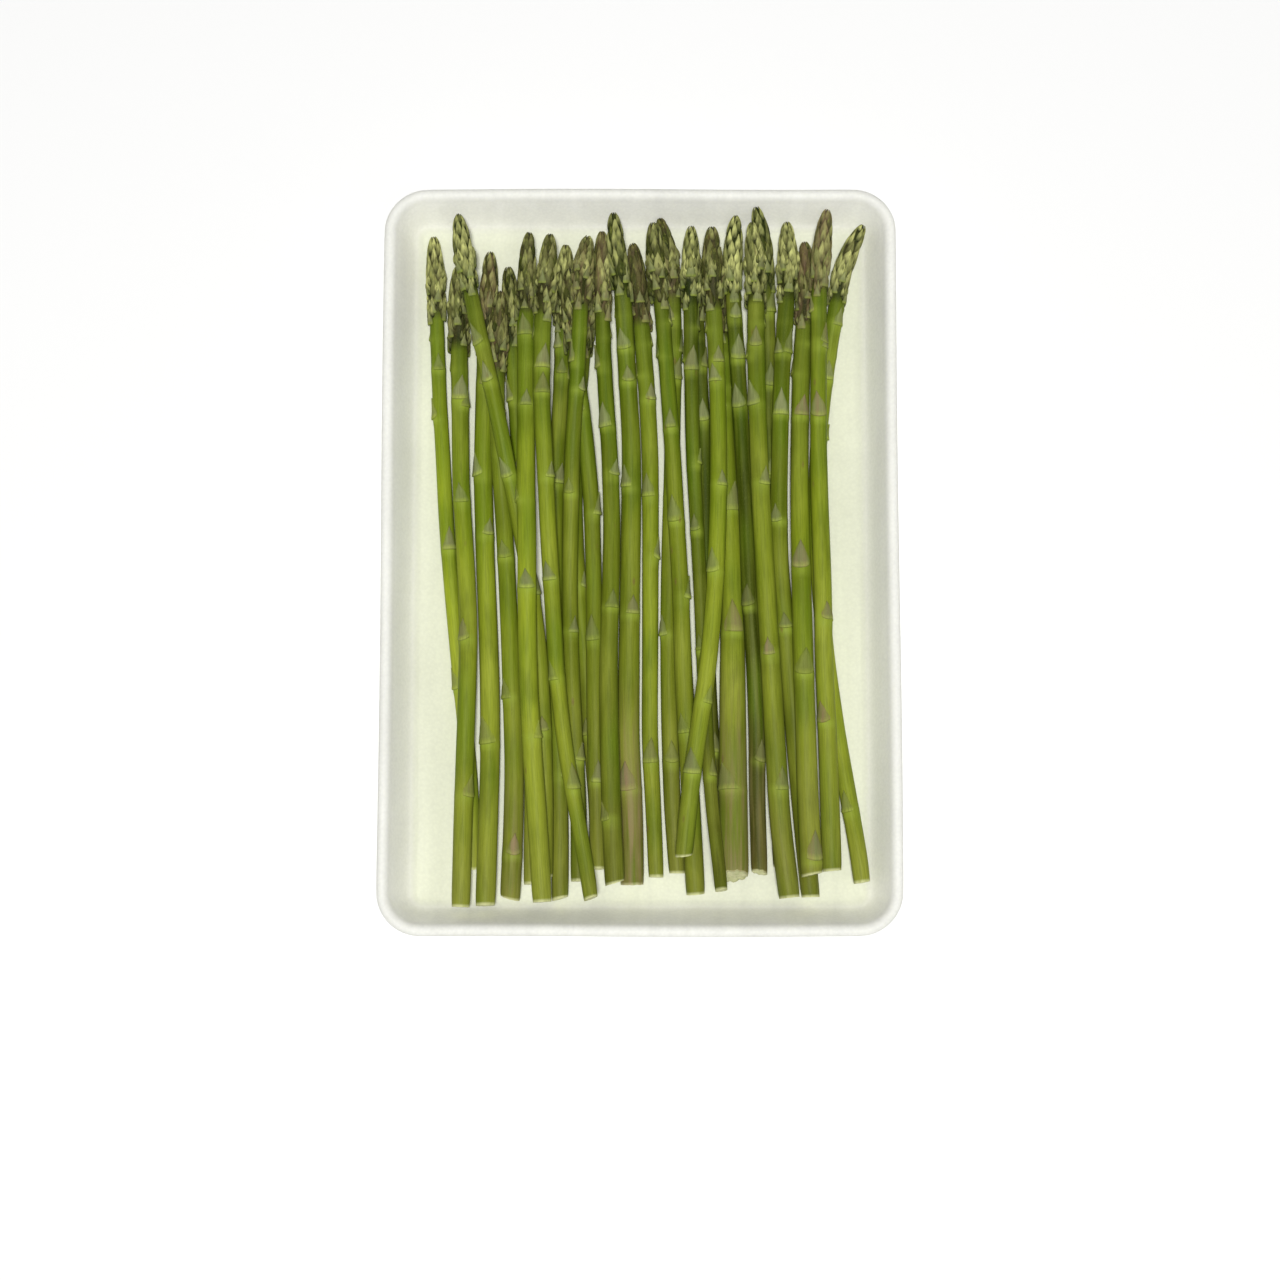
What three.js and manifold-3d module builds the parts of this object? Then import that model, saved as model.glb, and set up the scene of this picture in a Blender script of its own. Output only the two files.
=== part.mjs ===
// A bundle of thin green asparagus: 28 cut spears that lie loose in a shallow foam tray, all with
// their tips to one end. Millimetres, +Z up. The tray stands on z = 0 with its middle at the origin,
// and the tips point along +Y.
import * as THREE from "three";
import { ConvexGeometry } from "three/addons/geometries/ConvexGeometry.js";
import { mergeVertices } from "three/addons/utils/BufferGeometryUtils.js";
import Module from "manifold-3d";

const wasm = await Module();
wasm.setup();

// ---- driving dimensions ----

// The foam tray: outside of the rim, total height, floor thickness, plan radius of its corners.
const TRAY = { width: 147, length: 214, height: 15, floor: 3, corner: 12.6 };
const TRAY_SEGMENTS = 20;

// The inner wall from the rim to the floor, as [distance in from the outside of the rim, height
// over the floor].
const WALL = [[3.7, 10.3], [7.3, 3.3], [8.5, 1.5], [9.9, 0.4], [11.6, 0]];

// Spears.
const SIDES = 8;
const RING_SPACING = 20;        // between the rings of a stem
const AIR = 0.42;              // left between spears that lie against each other
const HEAD_LENGTH = 25;
const HEAD_THICK = 5.1;         // widest bare head, whatever the stem below it
const HEAD_VARIATION = 0.07;    // share by which one head is thicker or thinner than the next
const HEAD_MIDDLE = 0.5;        // where it is widest, as a share of the head from the tip
const HEAD_BLUNTNESS = 0.6;     // a smaller power makes a blunter tip
const GOLDEN_ANGLE = 137.5;

// Pressed scale leaves of the stem: three-cornered, the foot raised from the stem, the point too.
// The root lies half way up the leaf, at a share of the stem's radius.
const LEAF = { length: 7.5, halfAngle: 44, rise: 0.45, tipRise: 0.3, step: 0.3, root: 0.6 };
const COLLAR_STEPS = [6, 15];   // two more leaves, this far below the foot of the head

// Bud scales cover the head in whorls of four, each whorl turned against the one below it.
const WHORLS = 6;
const WHORL_COVER = 0.9;        // share of the head between its foot and the last whorl
const WHORL_START = 0.55;       // the lowest whorl is this share of a whorl up from the foot
const WHORL_TURN = 13;          // degrees that a whorl is turned besides half a scale
const THROAT = { narrow: 0.93, above: 0.5 };
const SCALE_STAND = 0.55;       // how far the point of a scale stands out from the bare head
const SCALE_REACH = 2.4;        // how far it climbs over the whorl above
const SCALE_DIP = 0.4;          // how far the edge falls back between two scales
const SCALE_SHRINK = 0.55;      // share by which the scales at the tip are smaller
const SCALE_VARIATION = 0.2;    // share by which one scale is larger or smaller than the next
const TIP_SHARE = 0.6;          // a scale climbs at most this share of the way to the tip

// ---- the spears, in the order in which they are laid, lowest first ----
// Each row: number from the left, thickness at the butt and below the head, butt [x, y], sideways
// place at each of the STATIONS that the spear reaches, tip [x, y], and its scale leaves
// [y of the foot, lean in degrees from straight up towards +X].
const STATIONS = [-70, -45, -20, 5, 30, 55, 75, 87];
const SPEARS = [
  [1, 4.5, 4.1, [-46.9, -88], [-47.4, -49.6, -52.5, -54.6, -56.2, -57.8, -58.2, -59],
    [-59.5, 95], [[-37, -48], [3, 15], [41, -80]]],
  [4, 5.7, 5.2, [-43, -98], [-42.4, -42, -43, -44.2, -44.8, -44.3, -43.5],
    [-43, 90.5], [[-53, -35], [7, 30], [24, -60]]],
  [6, 4.4, 4.1, [-31, -92], [-30.8, -30.9, -32, -33.2, -34.7, -36.5, -37.5],
    [-38.3, 86], [[-40, -60], [-12, 80], [22, -20]]],
  [5, 5.8, 4.6, [-36.2, -96.5], [-35, -35.6, -36.9, -38.3, -40.6, -40.9],
    [-40, 77.5], [[-84, 10], [-40, -50], [0, -10], [30, 60]]],
  [9, 4.8, 4.5, [-22.4, -96.5], [-22.4, -23.2, -24, -24.2, -23.5, -21.8, -20.8, -20.7],
    [-20.8, 92.5], [[-62, 70], [-28, -60], [22, 30], [54, 0]]],
  [11, 4.4, 4.1, [-11.7, -88], [-12.2, -14.5, -16.4, -18.4, -18.8, -17.4, -16.8],
    [-16.8, 85], [[-50, -30], [-8, 60], [38, -45]]],
  [10, 4.9, 4.5, [-11.5, -88], [-12.3, -12.8, -12.9, -13.3, -14.8, -18.3, -19.7],
    [-20, 84], [[-64, 20], [-24, -20], [12, 70], [42, -50]]],
  [17, 4.8, 4.5, [9.6, -89], [8.4, 7.7, 7.6, 7.9, 9, 9.9, 10.6, 9.7],
    [5.9, 100], [[-58, 10], [-22, -60], [18, 50], [52, 30]]],
  [18, 4.5, 4.1, [23, -90], [21.7, 20.2, 18.9, 18.9, 18.5, 17, 15.3, 13.9],
    [13.2, 95.7], [[-55, 30], [-5, -50], [40, 0]]],
  [24, 4.5, 4.3, [39.6, -87], [38.9, 38.6, 38.3, 37.7, 36.9, 37.3, 37.6, 37.1],
    [33.8, 102.4], [[-48, 40], [-6, -30], [24, 20], [50, 20]]],
  [28, 5.4, 4.5, [62.3, -91], [59, 54.9, 52, 50.5, 50.7, 53.4, 56.7, 58.7],
    [65.3, 97.5], [[-72, -35], [-18, 80], [34, 85], [51, 20]]],
  [21, 8.6, 5.0, [26.1, -91], [26.2, 26.4, 26.7, 25.9, 24.4, 23.6, 22.8],
    [22.2, 89], [[-66, -40], [-21, 5], [14, 40], [44, -30]]],
  [22, 4.6, 4.4, [33.3, -89.5], [32.6, 32.2, 31.6, 30.6, 29.3, 28, 26, 26],
    [27.5, 99.7], [[-58, 40], [-14, -30], [43, -20], [57, 15]]],
  [25, 5.4, 4.7, [47.8, -95.5], [45.3, 43, 40.8, 39.9, 40.1, 40.6, 42, 42.3],
    [42, 98.6], [[-20, 0], [10, -25], [41, 0], [59, 50]]],
  [19, 5.0, 4.0, [22.7, -93.7], [19.9, 18.3, 17.1, 16, 14.9, 14.8, 15.1, 15.2],
    [15.2, 96.3], [[-62, 40], [-26, -30], [8, -25], [27, 70], [54, 0]]],
  [2, 5.3, 4.9, [-49.4, -98.5], [-49.4, -48.7, -48.4, -49.7, -51, -52, -52.6],
    [-53, 86], [[-68, 50], [-24, -40], [16, 0], [44, 60]]],
  [3, 4.7, 4.5, [-26.6, -90], [-26.5, -27.2, -29, -33.2, -37.8, -43.5, -48.2, -50.2],
    [-52.3, 99], [[-50, 0], [-12, 60], [22, -30], [49, -18]]],
  [7, 5.6, 5.1, [-27, -97], [-28.9, -30.8, -31.6, -31.6, -32.3, -32.4, -32.6, -32.2],
    [-31.8, 94.8], [[-52, 55], [-10, 0], [15, -95], [43, 0]]],
  [12, 4.6, 4.3, [-18, -91], [-17.2, -18.5, -19.8, -19.7, -19.2, -17.4, -16.2, -15],
    [-14.3, 93.5], [[-58, 50], [-22, 30], [17, -15], [46, 60]]],
  [13, 5.7, 4.3, [-7.6, -92.5], [-8.2, -8.8, -8.8, -7.9, -8.6, -10.3, -11.2, -11.3],
    [-11, 94.3], [[-75, -50], [-15, 15], [23, 40], [37, -40]]],
  [14, 6.8, 4.9, [-0.8, -92.3], [-1.6, -2.6, -2.8, -2.6, -2.3, -4, -5.1, -7.2],
    [-7.9, 99], [[-66, -27], [-16, 22], [20, -50], [50, 10]]],
  [15, 4.4, 4.9, [4.7, -90], [3.8, 3.2, 3.3, 3.5, 3.2, 1.6, -0.2, -1.4],
    [-2.3, 93], [[-58, -10], [0, 75], [18, -25], [46, 35]]],
  [16, 5.4, 4.3, [15.1, -95], [14, 12.4, 12.1, 11, 9.5, 7.7, 6.3, 4.5],
    [4, 97.8], [[-50, -27], [-12, 80], [10, -20], [37, -5]]],
  [23, 6.1, 4.9, [41.9, -95.5], [38.8, 37.5, 36.1, 34.8, 33.5, 32.8, 32.9, 32.8],
    [32, 97], [[-66, 30], [-28, -10], [20, 35], [43, -45], [60, -5]]],
  [26, 6.2, 4.9, [47.5, -90], [46.8, 46.2, 45.2, 44.6, 45.1, 45.8, 46.8, 47.2],
    [46.2, 93], [[-86, 25], [-34, 5], [-4, -5], [41, 10]]],
  [27, 5.6, 4.5, [53.3, -88.5], [53, 52.3, 51.2, 50.9, 50.6, 50.8, 50.9, 51.6],
    [53.9, 101.3], [[-47, -30], [-18, 30], [40, 0], [60, 65]]],
  [8, 5.2, 4.8, [-12.5, -96], [-18, -22.4, -24.2, -26.2, -28, -28.2, -27.3, -25.9],
    [-25.8, 93], [[-66, 30], [-35, -40], [-7, -18], [22, 45], [46, 10]]],
  [20, 5.0, 4.7, [12, -85], [13.7, 17.1, 20.3, 21.9, 22.3, 21.8, 20.8, 20.6],
    [20.5, 95.3], [[-62, -20], [-42, 40], [-5, -38], [20, 30], [50, -20]]],
];

// ---- helpers ----

// A closed solid from a three.js geometry, ready to be joined.
function solid(geometry) {
  geometry.deleteAttribute("normal");
  geometry.deleteAttribute("uv");
  const merged = mergeVertices(geometry, 1e-4);
  const vertProperties = new Float32Array(merged.attributes.position.array);
  const triVerts = new Uint32Array(merged.index.array);
  return new wasm.Manifold(new wasm.Mesh({ numProp: 3, vertProperties, triVerts }));
}

// A three.js geometry from a joined solid.
function geometryOf(manifold) {
  const { vertProperties, triVerts } = manifold.getMesh();
  const geometry = new THREE.BufferGeometry();
  geometry.setAttribute("position", new THREE.Float32BufferAttribute(vertProperties, 3));
  geometry.setIndex(new THREE.Uint32BufferAttribute(triVerts, 1));
  return geometry;
}

function mesh(name, geometry, colour, roughness) {
  geometry.computeVertexNormals();
  const material = new THREE.MeshStandardMaterial({ color: colour, roughness, metalness: 0 });
  const piece = new THREE.Mesh(geometry, material);
  piece.name = name;
  return piece;
}

// ---- foam tray ----

// The section runs from the middle of the underside out to the lip and back to the middle of the
// floor, as [distance in from the outside of the rim, height].
function trayGeometry() {
  const { width, length, height, floor, corner } = TRAY;
  const section = [
    [10, 0], [8.2, 0.4], [6.6, 1.6], [5.2, 3.5], [1.6, height - 4], [1.2, height - 2.7],
    [0.4, height - 2.5], [0, height - 1.5], [0.4, height - 0.4], [1.5, height], [2.8, height - 0.5],
    ...WALL.map(([inset, rise]) => [inset, floor + rise]),
  ];
  const profile = [new THREE.Vector2(0, 0)];
  section.forEach(([inset, z]) => profile.push(new THREE.Vector2(corner - inset, z)));
  profile.push(new THREE.Vector2(0, floor));
  const half = Math.PI / TRAY_SEGMENTS;
  const geometry = new THREE.LatheGeometry(profile, TRAY_SEGMENTS, half);
  geometry.rotateX(Math.PI / 2);
  // The round dish is pulled apart into a tray: each quarter moves out to its own corner.
  const position = geometry.attributes.position;
  for (let i = 0; i < position.count; i += 1) {
    const x = position.getX(i);
    const y = position.getY(i);
    if (Math.hypot(x, y) > 0.01) {
      position.setX(i, x + Math.sign(x) * (width / 2 - corner));
      position.setY(i, y + Math.sign(y) * (length / 2 - corner));
    }
  }
  return geometryOf(solid(geometry));
}

// How high the inside of the wall stands over the floor at a distance from the rim.
const wallInsets = WALL.map(([inset]) => inset);
const wallHeights = WALL.map(([, height]) => height);
const wallRise = new THREE.LinearInterpolant(wallInsets, wallHeights, 1, [0]);

// Height of the middle of a stem that lies in the tray: on the floor, or up the wall at the edge.
function restingHeight(x, y, radius) {
  const dx = Math.max(0, Math.abs(x) + radius - (TRAY.width / 2 - TRAY.corner));
  const dy = Math.max(0, Math.abs(y) - (TRAY.length / 2 - TRAY.corner));
  const rise = wallRise.evaluate(TRAY.corner - Math.hypot(dx, dy) - AIR)[0];
  return TRAY.floor + AIR / 2 + radius + rise;
}

// ---- how the loose spears come to rest ----

// Every spear is a row of discs, one at each station along the tray. In each round the discs sink,
// drift back to their place in the table, are evened out along the spear, which is stiff, and part
// where they are too close.
const GRID_STEP = 4;
const GRID = Array.from({ length: 53 }, (_, i) => -103 + i * GRID_STEP);
const SINKING_ROUNDS = 600;
const PARTING_ROUNDS = 25;
const EVENING_PASSES = 12;      // more passes make a stiffer spear
const START_HEIGHT = 3;         // of the first spear over the floor, before they sink
const START_SPACING = 0.9;      // height between one spear and the next before they sink
const SINK = 0.05;
const DRIFT = 0.12;
const OVER_SHARE = 0.86;        // spears closer than this share of touching lie one over the other

// Room round a spear: on a bare stem, past the point of a leaf, below the collar leaves, and the
// share of the head in which its room tapers to the tip.
const ROOM = { bare: 0.05, pastLeaf: 2, belowCollar: 3, taper: 0.5, least: 0.05 };

function stemRadius(spear, y) {
  const share = (y - spear.butt.y) / (spear.tip.y - HEAD_LENGTH - spear.butt.y);
  return THREE.MathUtils.lerp(spear.thickButt, spear.thickTop, THREE.MathUtils.clamp(share, 0, 1)) / 2;
}

// Radius that a spear needs around it, with its leaves and bud scales.
function roomRadius(spear, y) {
  const left = spear.tip.y - y;
  if (left < HEAD_LENGTH) {
    const share = (left + SCALE_REACH / 2) / (ROOM.taper * HEAD_LENGTH);
    const taper = THREE.MathUtils.clamp(share, ROOM.least, 1);
    const full = spear.headThick / 2 + SCALE_STAND * (1 + SCALE_VARIATION);
    return full * Math.sqrt(taper);
  }
  const leafEnd = LEAF.length + ROOM.pastLeaf;
  const nearLeaf = spear.leaves.some(([foot]) => y > foot - GRID_STEP && y < foot + leafEnd);
  const nearHead = left < HEAD_LENGTH + COLLAR_STEPS.at(-1) + ROOM.belowCollar;
  const nearButt = y < spear.butt.y + 2 * GRID_STEP;
  const extra = (nearLeaf || nearHead ? LEAF.rise : ROOM.bare) + (nearButt ? AIR : 0);
  return stemRadius(spear, y) + extra;
}

// Sideways place of a spear along its length: a smooth curve through its row of the table.
function sidewaysPlaces(spear, ys) {
  const points = [spear.butt, ...spear.between, spear.tip];
  const curve = new THREE.CubicInterpolant(points.map((p) => p.y), points.map((p) => p.x), 1, [0]);
  return ys.map((y) => curve.evaluate(THREE.MathUtils.clamp(y, spear.butt.y, spear.tip.y))[0]);
}

function discsOf([number, thickButt, thickTop, butt, across, tip, leaves], order) {
  const spear = { number, thickButt, thickTop, leaves };
  spear.headThick = HEAD_THICK * (1 + HEAD_VARIATION * (2 * draw(number, 900) - 1));
  spear.butt = { x: butt[0], y: butt[1] };
  spear.between = across.map((x, i) => ({ x, y: STATIONS[i] }));
  spear.tip = { x: tip[0], y: tip[1] };
  spear.first = GRID.findIndex((y) => y > spear.butt.y - GRID_STEP);
  spear.last = GRID.findLastIndex((y) => y < spear.tip.y + GRID_STEP);
  spear.home = sidewaysPlaces(spear, GRID);
  spear.x = spear.home.slice();
  spear.z = GRID.map(() => TRAY.floor + START_HEIGHT + order * START_SPACING);
  spear.room = GRID.map((y) => roomRadius(spear, y));
  spear.bare = GRID.map((y) => stemRadius(spear, y));
  return spear;
}

// Spear b is laid after spear a. Where their places overlap, b is pushed up over a. Elsewhere the
// two discs part along the line between their middles.
function partAt(k, a, b) {
  if (k < a.first || k > a.last || k < b.first || k > b.last) {
    return;
  }
  const dx = b.x[k] - a.x[k];
  const dz = b.z[k] - a.z[k];
  const reach = a.room[k] + b.room[k] + AIR;
  const apart = Math.hypot(dx, dz);
  if (Math.abs(b.home[k] - a.home[k]) < OVER_SHARE * (a.bare[k] + b.bare[k])) {
    const lack = Math.sqrt(Math.max(0, reach * reach - dx * dx)) - dz;
    a.z[k] -= Math.max(0, lack) / 2;
    b.z[k] += Math.max(0, lack) / 2;
  } else if (apart < reach) {
    const push = (reach - apart) / 2 / Math.max(apart, 0.01);
    a.x[k] -= dx * push;
    b.x[k] += dx * push;
    a.z[k] -= dz * push;
    b.z[k] += dz * push;
  }
}

function part(spears) {
  for (let k = 0; k < GRID.length; k += 1) {
    spears.forEach((a, i) => spears.slice(i + 1).forEach((b) => partAt(k, a, b)));
    for (const spear of spears) {
      const y = THREE.MathUtils.clamp(GRID[k], spear.butt.y, spear.tip.y);
      spear.z[k] = Math.max(spear.z[k], restingHeight(spear.x[k], y, spear.room[k]));
    }
  }
}

// Each value moves to the mean of itself and its neighbours along the spear, a few times over.
function evenOut(values, spear) {
  const { first, last } = spear;
  let even = values.slice(first, last + 1);
  for (let pass = 0; pass < EVENING_PASSES; pass += 1) {
    even = even.map((value, i) => (even[Math.max(i - 1, 0)] + 2 * value + (even[i + 1] ?? value)) / 4);
  }
  return values.map((value, k) => even[k - first] ?? value);
}

function sink(spear) {
  const strayed = evenOut(spear.x.map((x, k) => (x - spear.home[k]) * (1 - DRIFT)), spear);
  spear.x = strayed.map((stray, k) => spear.home[k] + stray);
  spear.z = evenOut(spear.z, spear).map((z) => z - SINK);
}

function layAll() {
  const spears = SPEARS.map(discsOf);
  for (let round = 0; round < SINKING_ROUNDS; round += 1) {
    spears.forEach(sink);
    part(spears);
    part(spears);
  }
  for (let round = 0; round < PARTING_ROUNDS; round += 1) {
    part(spears);
  }
  return spears;
}

// ---- one spear ----

// The line along the middle of a spear as a curve in space, through its discs.
function centreLine(spear) {
  const ys = GRID.slice(spear.first, spear.last + 1);
  const across = new THREE.CubicInterpolant(ys, spear.x.slice(spear.first, spear.last + 1), 1, [0]);
  const upward = new THREE.CubicInterpolant(ys, spear.z.slice(spear.first, spear.last + 1), 1, [0]);
  const steps = Math.round((spear.tip.y - spear.butt.y) / GRID_STEP);
  const points = Array.from({ length: steps + 1 }, (_, i) => {
    const y = THREE.MathUtils.lerp(spear.butt.y, spear.tip.y, i / steps);
    return new THREE.Vector3(across.evaluate(y)[0], y, upward.evaluate(y)[0]);
  });
  return new THREE.CatmullRomCurve3(points);
}

// A number from 0 to 1 that looks random and is the same each time.
function draw(a, b) {
  const value = Math.sin(a * 127.1 + b * 311.7) * 43758.5453;
  return value - Math.floor(value);
}

// Bare radius of the stem, and of the head by the share of it that is left to the tip.
function stemRadiusAlong(spear, along) {
  const share = Math.min(1, along / (spear.length - HEAD_LENGTH));
  return THREE.MathUtils.lerp(spear.thickButt, spear.thickTop, share) / 2;
}

// The head swells from its foot to its middle and closes in a point.
function headRadius(spear, share) {
  const toFoot = Math.max(0, (share - HEAD_MIDDLE) / (1 - HEAD_MIDDLE));
  const full = THREE.MathUtils.lerp(spear.headThick, spear.thickTop, toFoot) / 2;
  return full * Math.sin(Math.min(1, share / HEAD_MIDDLE) * (Math.PI / 2)) ** HEAD_BLUNTNESS;
}

// Stem and head in one turned solid. Each whorl of the head is two rings: the edge of its scales,
// drawn out into four points, and the throat behind it, from which the next whorl rises.
function core(spear) {
  const stemLength = spear.length - HEAD_LENGTH;
  const rings = Math.round(stemLength / RING_SPACING);
  const profile = [new THREE.Vector2(0, 0)];
  for (let i = 0; i <= rings; i += 1) {
    const along = (stemLength * i) / rings;
    profile.push(new THREE.Vector2(stemRadiusAlong(spear, along), along));
  }
  for (let whorl = 0; whorl < WHORLS; whorl += 1) {
    const share = 1 - ((whorl + WHORL_START) / WHORLS) * WHORL_COVER;
    const along = spear.length - share * HEAD_LENGTH;
    const radius = headRadius(spear, share);
    profile.push(new THREE.Vector2(radius, along));
    profile.push(new THREE.Vector2(radius * THROAT.narrow, along + THROAT.above));
  }
  profile.push(new THREE.Vector2(0, spear.length));
  const geometry = new THREE.LatheGeometry(profile, SIDES);
  const firstWhorlRing = rings + 2;
  const position = geometry.attributes.position;
  for (let i = 0; i < position.count; i += 1) {
    const ring = (i % profile.length) - firstWhorlRing;
    const side = Math.floor(i / profile.length) % SIDES;
    if (ring >= 0 && ring < WHORLS * 2) {
      openScale(spear, position, i, ring, side);
    }
  }
  return solid(geometry);
}

// Moves one point of a whorl: every other side is the point of a scale, the rest lie between them.
function openScale(spear, position, i, ring, side) {
  const whorl = Math.floor(ring / 2);
  const isThroat = ring % 2 === 1;
  const isPoint = (side + whorl) % 2 === 0;
  const shrink = 1 - (SCALE_SHRINK * whorl) / WHORLS;
  const vary = 1 + SCALE_VARIATION * (2 * draw(spear.number, side + whorl * SIDES) - 1);
  const climb = isPoint ? SCALE_REACH * shrink * vary : -SCALE_DIP;
  const stand = isPoint && !isThroat ? SCALE_STAND * shrink * vary : 0;
  const point = new THREE.Vector3().fromBufferAttribute(position, i);
  const radius = Math.hypot(point.x, point.z);
  const wider = 1 + stand / radius;
  point.multiply(new THREE.Vector3(wider, 1, wider));
  point.y += Math.min(climb, (spear.length - point.y) * TIP_SHARE);
  point.applyAxisAngle(new THREE.Vector3(0, 1, 0), THREE.MathUtils.degToRad(whorl * WHORL_TURN));
  position.setXYZ(i, point.x, point.y, point.z);
}

// A pointed leaf pressed to the stem, its root sunk in. The lean is measured from +Z towards +X.
function leaf(spear, foot, lean) {
  const at = (along, turn, radius) => {
    const angle = THREE.MathUtils.degToRad(lean + turn);
    return new THREE.Vector3(Math.sin(angle) * radius, along, Math.cos(angle) * radius);
  };
  const radius = stemRadiusAlong(spear, foot);
  return solid(new ConvexGeometry([
    at(foot, -LEAF.halfAngle, radius),
    at(foot, LEAF.halfAngle, radius),
    at(foot + LEAF.step, 0, radius + LEAF.rise),
    at(foot + LEAF.length, 0, radius + LEAF.tipRise),
    at(foot + LEAF.length / 2, 0, radius * LEAF.root),
  ]));
}

function leavesOf(spear) {
  const toAlong = spear.length / (spear.tip.y - spear.butt.y);
  const leaves = spear.leaves.map(([foot, lean]) => leaf(spear, (foot - spear.butt.y) * toAlong, lean));
  COLLAR_STEPS.forEach((down, i) => {
    const turn = 360 * draw(spear.number, 500) + i * GOLDEN_ANGLE;
    leaves.push(leaf(spear, spear.length - HEAD_LENGTH - down, turn));
  });
  return leaves;
}

// Each straight spear is joined from its core and leaves, then bent along its centre line.
function spearGeometry(spear) {
  const line = centreLine(spear);
  spear.length = line.getLength();
  const joined = leavesOf(spear).reduce((whole, next) => whole.add(next), core(spear));
  const geometry = geometryOf(joined);
  const position = geometry.attributes.position;
  const up = new THREE.Vector3(0, 0, 1);
  for (let i = 0; i < position.count; i += 1) {
    const along = THREE.MathUtils.clamp(position.getY(i) / spear.length, 0, 1);
    const middle = line.getPointAt(along);
    const tangent = line.getTangentAt(along);
    const side = new THREE.Vector3().crossVectors(tangent, up).normalize();
    const rise = new THREE.Vector3().crossVectors(side, tangent);
    middle.addScaledVector(side, position.getX(i));
    middle.addScaledVector(rise, position.getZ(i));
    position.setXYZ(i, middle.x, middle.y, middle.z);
  }
  return geometry;
}

// ---- the bundle ----

const bundle = new THREE.Group();
bundle.add(mesh("foam_tray", trayGeometry(), 0xe1e3ce, 0.6));
for (const spear of layAll()) {
  const number = String(spear.number).padStart(2, "0");
  bundle.add(mesh(`spear_${number}`, spearGeometry(spear), 0x6f8229, 0.5));
}

export default bundle;
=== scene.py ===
"""A bundle of thin green asparagus: 28 cut spears that lie loose in a shallow foam tray.

Metres, +Z up. The middle of the tray is at the origin and the tips point along +Y. Each spear
follows its own solid in the frame: the line along its middle and its thickness are read from there.
"""

import math
import random

import bmesh
import bpy
import numpy as np
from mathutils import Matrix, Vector


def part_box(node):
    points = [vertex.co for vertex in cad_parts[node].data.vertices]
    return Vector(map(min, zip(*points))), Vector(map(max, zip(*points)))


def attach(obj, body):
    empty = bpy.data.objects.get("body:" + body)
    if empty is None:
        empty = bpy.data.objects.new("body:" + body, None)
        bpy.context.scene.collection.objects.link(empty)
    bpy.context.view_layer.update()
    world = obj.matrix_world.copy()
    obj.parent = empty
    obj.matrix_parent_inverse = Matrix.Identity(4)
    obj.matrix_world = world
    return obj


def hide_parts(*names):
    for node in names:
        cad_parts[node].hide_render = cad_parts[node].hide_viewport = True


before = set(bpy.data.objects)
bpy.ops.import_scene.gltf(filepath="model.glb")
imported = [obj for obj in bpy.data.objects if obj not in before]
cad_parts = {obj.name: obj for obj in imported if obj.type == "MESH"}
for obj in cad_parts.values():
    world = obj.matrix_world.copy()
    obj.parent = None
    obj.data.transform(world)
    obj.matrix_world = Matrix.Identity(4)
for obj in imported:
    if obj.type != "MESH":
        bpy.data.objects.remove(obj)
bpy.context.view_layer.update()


# ---- foam tray ----
# A shallow dish pressed from one sheet of white polystyrene foam: soft corners, steep walls, a rim
# that turns outwards, and a flat floor. The foam is about 2.5 to 3 mm thick and shows fine closed
# cells under a smooth skin.

MM = 0.001
# Sizes of the tray, in mm.
TRAY_CORNER = 12.4               # radius of its corners, seen from above
CORNER_STEPS = 10
LONG_EDGE = 40                   # any edge longer than this is a side, which is divided:
SIDE_CUTS = 15
RIM_MIDDLE = 13.5                # height of the outermost edge of the rim
RIM_ROUND = 0.5                  # straight part of that edge
# Steps from the outermost edge, as (further in, up or down): over the rim into the dish, and down
# the outside to the underside.
INTO_DISH = [(0.12, 0.45), (0.33, 0.45), (0.55, 0.25), (0.5, 0.05), (0.6, -0.1), (0.6, -0.3),
             (0.55, -0.55), (0.5, -0.8), (0.9, -1.75), (1.5, -2.95), (1.2, -2.2), (0.6, -0.95),
             (0.6, -0.8), (0.65, -0.6), (0.75, -0.5), (0.8, -0.27), (0.9, -0.18)]
DOWN_OUTSIDE = [(0.12, 0.4), (0.3, 0.35), (0.4, 0.12), (0.35, 0.2), (0.2, 0.5), (0.35, 0.8),
                (1.6, 3.35), (1.7, 3.6), (0.8, 1.4), (0.8, 1.0), (0.8, 0.7), (0.9, 0.48),
                (1.0, 0.28), (0.7, 0.07)]
WAVE = 0.35                      # how far the rim wavers, inwards and down
LONG_WAVE, SHORT_WAVE = 27, 19   # mm to a radian of the waves along the long and the short sides
WAVES_FROM = (50, 85)            # how far from the middle, across and along, the waves begin,
WAVES_GROW = 20                  # and over what distance they grow to the full


def pick(kind, test):
    """In edit mode, selects just the points, edges or faces that pass the test."""
    bpy.ops.mesh.select_mode(type=kind)
    bpy.ops.mesh.select_all(action="DESELECT")
    shape = bmesh.from_edit_mesh(bpy.context.object.data)
    found = {"VERT": shape.verts, "EDGE": shape.edges, "FACE": shape.faces}[kind]
    found.ensure_lookup_table()
    for part in found:
        if test(part):
            part.select_set(True)
    bmesh.update_edit_mesh(bpy.context.object.data)


def places(mesh):
    """The points of a mesh as rows of x, y, z."""
    rows = np.empty(len(mesh.vertices) * 3)
    mesh.vertices.foreach_get("co", rows)
    return rows.reshape(-1, 3)


def put_places(mesh, rows):
    """Moves the points of a mesh to these rows of x, y, z."""
    mesh.vertices.foreach_set("co", rows.ravel())
    mesh.update()


def linear(red, green, blue):
    """A colour given in the 0 to 255 of a screen, as a shader takes it."""
    return [(c / 255 / 12.92 if c < 10.3 else ((c / 255 + 0.055) / 1.055) ** 2.4)
            for c in (red, green, blue)] + [1]


def new_material(name):
    """A new material, its nodes and its surface shader."""
    material = bpy.data.materials.new(name)
    material.use_nodes = True
    tree = material.node_tree
    return material, tree, tree.nodes["Principled BSDF"]


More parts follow.
